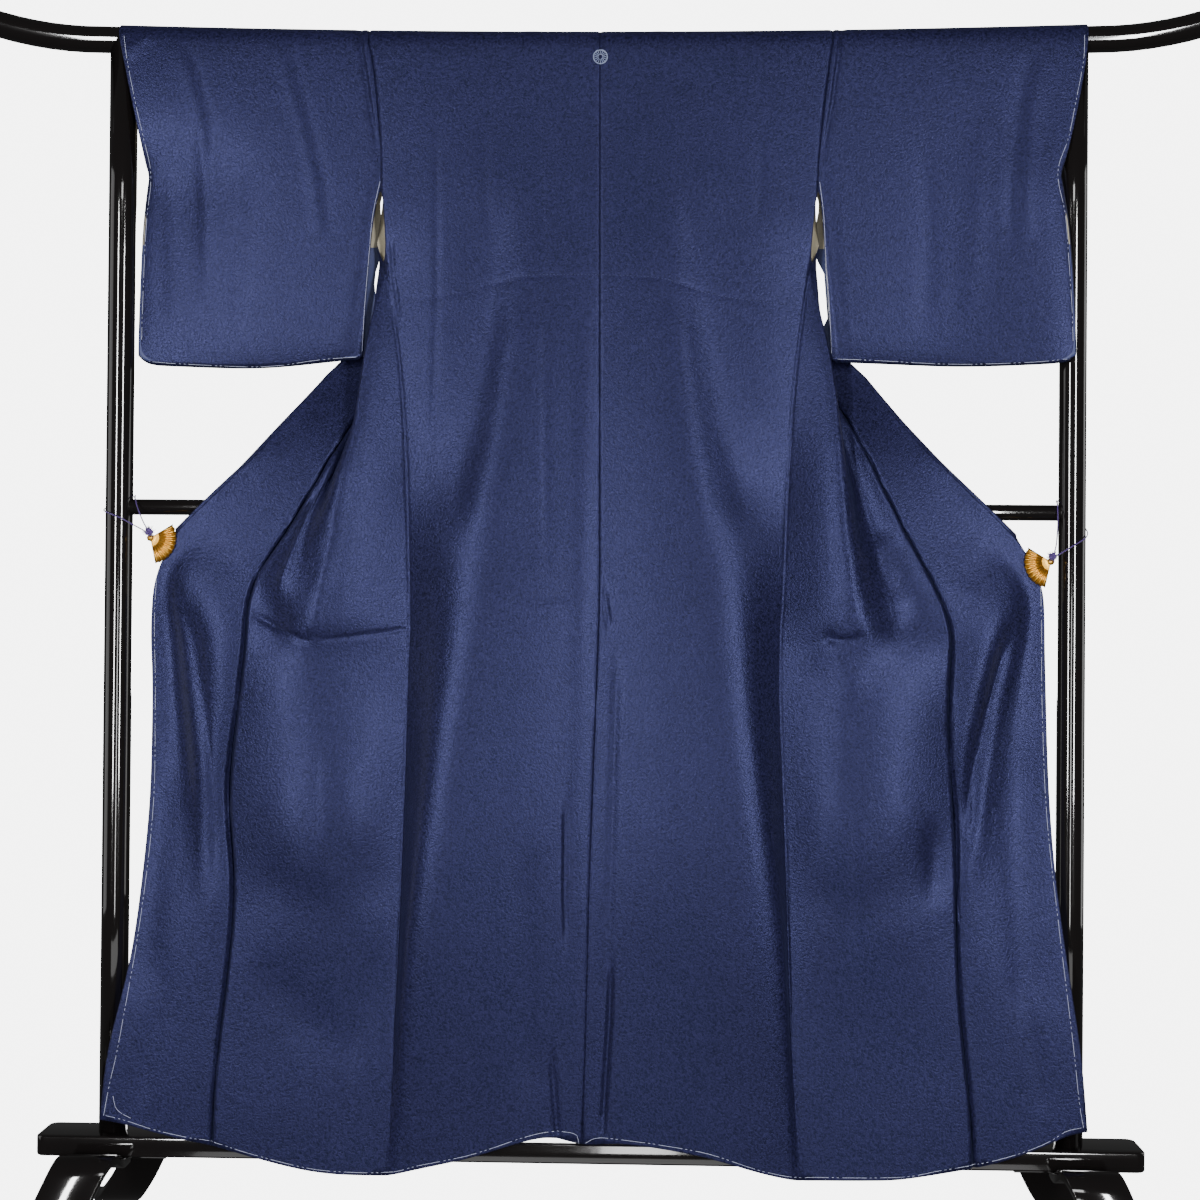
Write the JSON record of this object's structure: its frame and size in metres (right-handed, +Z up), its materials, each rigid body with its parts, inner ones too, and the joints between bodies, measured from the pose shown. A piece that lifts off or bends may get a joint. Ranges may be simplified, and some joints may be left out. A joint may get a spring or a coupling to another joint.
{
  "type": "kimono on a kimono rack",
  "caption": "Lined silk kimono shown from the back over the top rail of a black lacquered rack, the fronts swung open and held at the sides by gilt fan clips on cords.",
  "frame": {"origin": "middle of the rack on the floor plane, below the top rail's axis", "axes": "+X to the viewer's right along the top rail, +Y away from the viewer, +Z up"},
  "size_m": [1.863, 0.384, 1.7964],
  "materials": {
    "silk": "crepe silk, slight sheen",
    "collar": "crepe silk, folded double",
    "lacquer": "black gloss lacquer",
    "gilt": "satin gilt",
    "cord": "twisted silk cord"
  },
  "bodies": {
    "root": {"body_left": "silk", "body_right": "silk", "okumi_left": "silk", "okumi_right": "silk", "sleeve_left": "silk", "sleeve_right": "silk", "collar": "collar", "top_rail": "lacquer", "upright_left": "lacquer", "upright_right": "lacquer", "middle_rail": "lacquer", "base_plank": "lacquer", "leg_front_left": "lacquer", "leg_front_right": "lacquer", "leg_rear_left": "lacquer", "leg_rear_right": "lacquer", "clip_left": "gilt", "clip_right": "gilt", "knot_left": "cord", "knot_right": "cord", "cord_left": "cord", "cord_right": "cord"}
  },
  "joints": []
}
